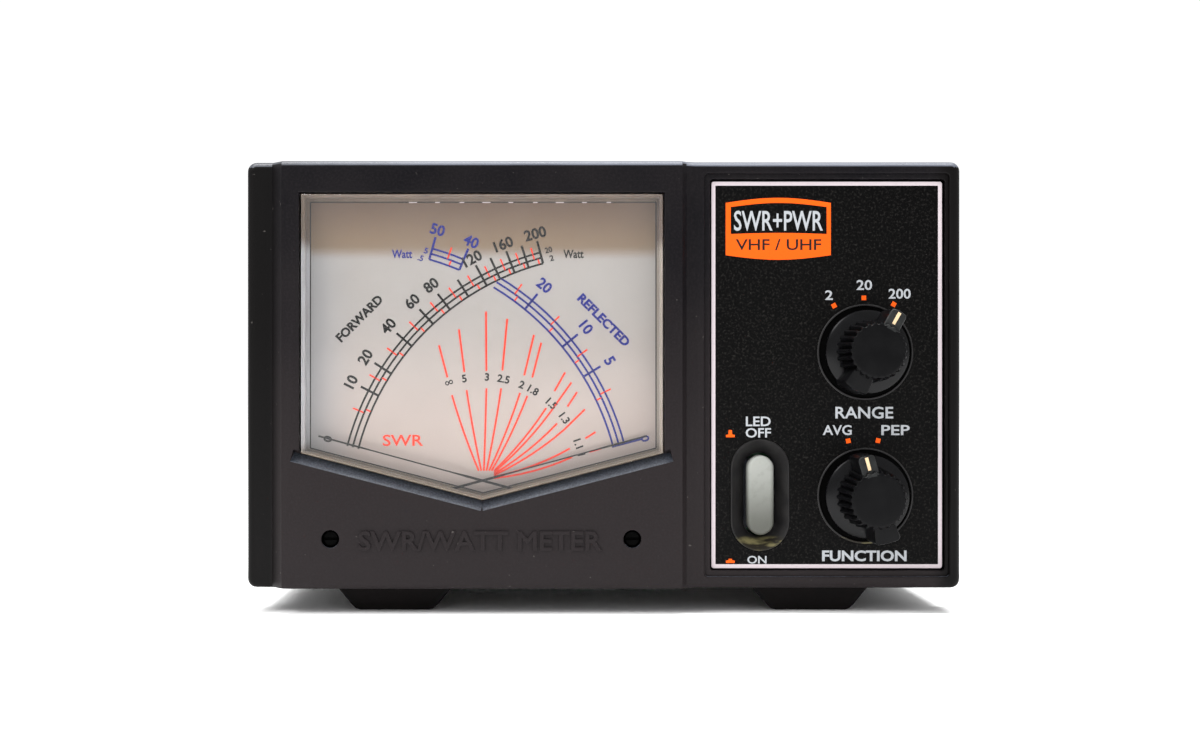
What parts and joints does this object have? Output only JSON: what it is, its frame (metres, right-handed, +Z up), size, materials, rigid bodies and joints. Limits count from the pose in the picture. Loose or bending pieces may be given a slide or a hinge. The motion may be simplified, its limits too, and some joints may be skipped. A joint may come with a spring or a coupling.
{
  "type": "swr meter",
  "caption": "Bench-top cross-needle SWR and power meter with a lit dial, two rotary selectors and a push button, with coaxial sockets at the back.",
  "frame": {"origin": "middle of the footprint, at the feet's soles", "axes": "+X right and +Z up as the front is read; the front with its dial and knobs faces -Y, the coaxial sockets face +Y"},
  "size_m": [0.155, 0.112, 0.098],
  "materials": {
    "case_plastic": "fine texture",
    "panel_black": "fine grain",
    "clear_plastic": "clear",
    "dial_paint": "satin white",
    "needle_black": "matt",
    "knob_plastic": "satin",
    "button_plastic": "satin",
    "switch_plastic": "moulded",
    "circuit_board": "solder mask",
    "cover_paint": "satin",
    "zinc_steel": "zinc plated",
    "nickel_plate": "nickel plated",
    "brass": "drawn",
    "copper_wire": "enamelled",
    "magnet": "ground",
    "ferrite": "fired",
    "insulator": "turned",
    "foot_rubber": "matt"
  },
  "bodies": {
    "case": {"backlight_strip": "insulator", "bezel_screw_left": "zinc_steel", "bezel_screw_right": "zinc_steel", "chassis": "cover_paint", "control_panel_plate": "panel_black", "coupler_board": "circuit_board", "coupler_housing": "zinc_steel", "coupler_lid": "zinc_steel", "cover_screw_left_front": "zinc_steel", "cover_screw_left_rear": "zinc_steel", "cover_screw_right_front": "zinc_steel", "cover_screw_right_rear": "zinc_steel", "current_toroid": "ferrite", "dc_jack": "switch_plastic", "dc_jack_nut": "nickel_plate", "dial_plate": "dial_paint", "foot_left_front": "foot_rubber", "foot_left_rear": "foot_rubber", "foot_right_front": "foot_rubber", "foot_right_rear": "foot_rubber", "forward_bridge": "brass", "forward_core": "zinc_steel", "forward_hairspring": "brass", "forward_magnet": "magnet", "front_bezel": "case_plastic", "function_switch_body": "switch_plastic", "function_switch_nut": "nickel_plate", "input_insulator": "insulator", "input_screw_lower": "zinc_steel", "input_screw_upper": "zinc_steel", "input_socket": "nickel_plate", "line_conductor": "brass", "meter_frame": "switch_plastic", "meter_lens": "clear_plastic", "output_insulator": "insulator", "output_screw_lower": "zinc_steel", "output_screw_upper": "zinc_steel", "output_socket": "nickel_plate", "push_switch_body": "switch_plastic", "range_switch_body": "switch_plastic", "range_switch_nut": "nickel_plate", "reflected_bridge": "brass", "reflected_core": "zinc_steel", "reflected_hairspring": "brass", "reflected_magnet": "magnet", "switch_board": "circuit_board", "top_cover": "cover_paint"},
    "range_control": {"range_knob": "knob_plastic", "range_switch_shaft": "zinc_steel"},
    "function_control": {"function_knob": "knob_plastic", "function_switch_shaft": "zinc_steel"},
    "light_button": {"led_button": "button_plastic", "push_switch_plunger": "insulator", "push_switch_spring": "zinc_steel"},
    "forward_pointer": {"forward_needle": "needle_black", "forward_coil": "copper_wire"},
    "reflected_pointer": {"reflected_needle": "needle_black", "reflected_coil": "copper_wire"},
    "forward_adjuster": {"forward_zero_adjuster": "switch_plastic"},
    "reflected_adjuster": {"reflected_zero_adjuster": "switch_plastic"}
  },
  "joints": [
    {"name": "range_turn", "type": "hinge", "parent": "case", "child": "range_control", "pos_m": [0.0571, -0.04, 0.0567], "axis": [0, 1, 0], "range_deg": [-60, 0]},
    {"name": "function_turn", "type": "hinge", "parent": "case", "child": "function_control", "pos_m": [0.0571, -0.04, 0.0254], "axis": [0, 1, 0], "range_deg": [0, 30]},
    {"name": "light_press", "type": "slide", "parent": "case", "child": "light_button", "axis": [0, 1, 0], "range_m": [0, 0.003], "stiffness_N_per_m": 200, "springref_m": -0.002, "deforming": ["push_switch_spring"]},
    {"name": "forward_swing", "type": "hinge", "parent": "case", "child": "forward_pointer", "pos_m": [0.0015, -0.04, 0.021], "axis": [0, 1, 0], "range_deg": [0, 60], "stiffness_Nm_per_rad": 0.00002},
    {"name": "reflected_swing", "type": "hinge", "parent": "case", "child": "reflected_pointer", "pos_m": [-0.0541, -0.04, 0.021], "axis": [0, -1, 0], "range_deg": [0, 60], "stiffness_Nm_per_rad": 0.00002},
    {"name": "forward_zero", "type": "hinge", "parent": "case", "child": "forward_adjuster", "pos_m": [0.0062, -0.04, 0.0163], "axis": [0, 1, 0], "range_deg": [-25, 25]},
    {"name": "reflected_zero", "type": "hinge", "parent": "case", "child": "reflected_adjuster", "pos_m": [-0.059, -0.04, 0.0163], "axis": [0, 1, 0], "range_deg": [-25, 25]}
  ]
}
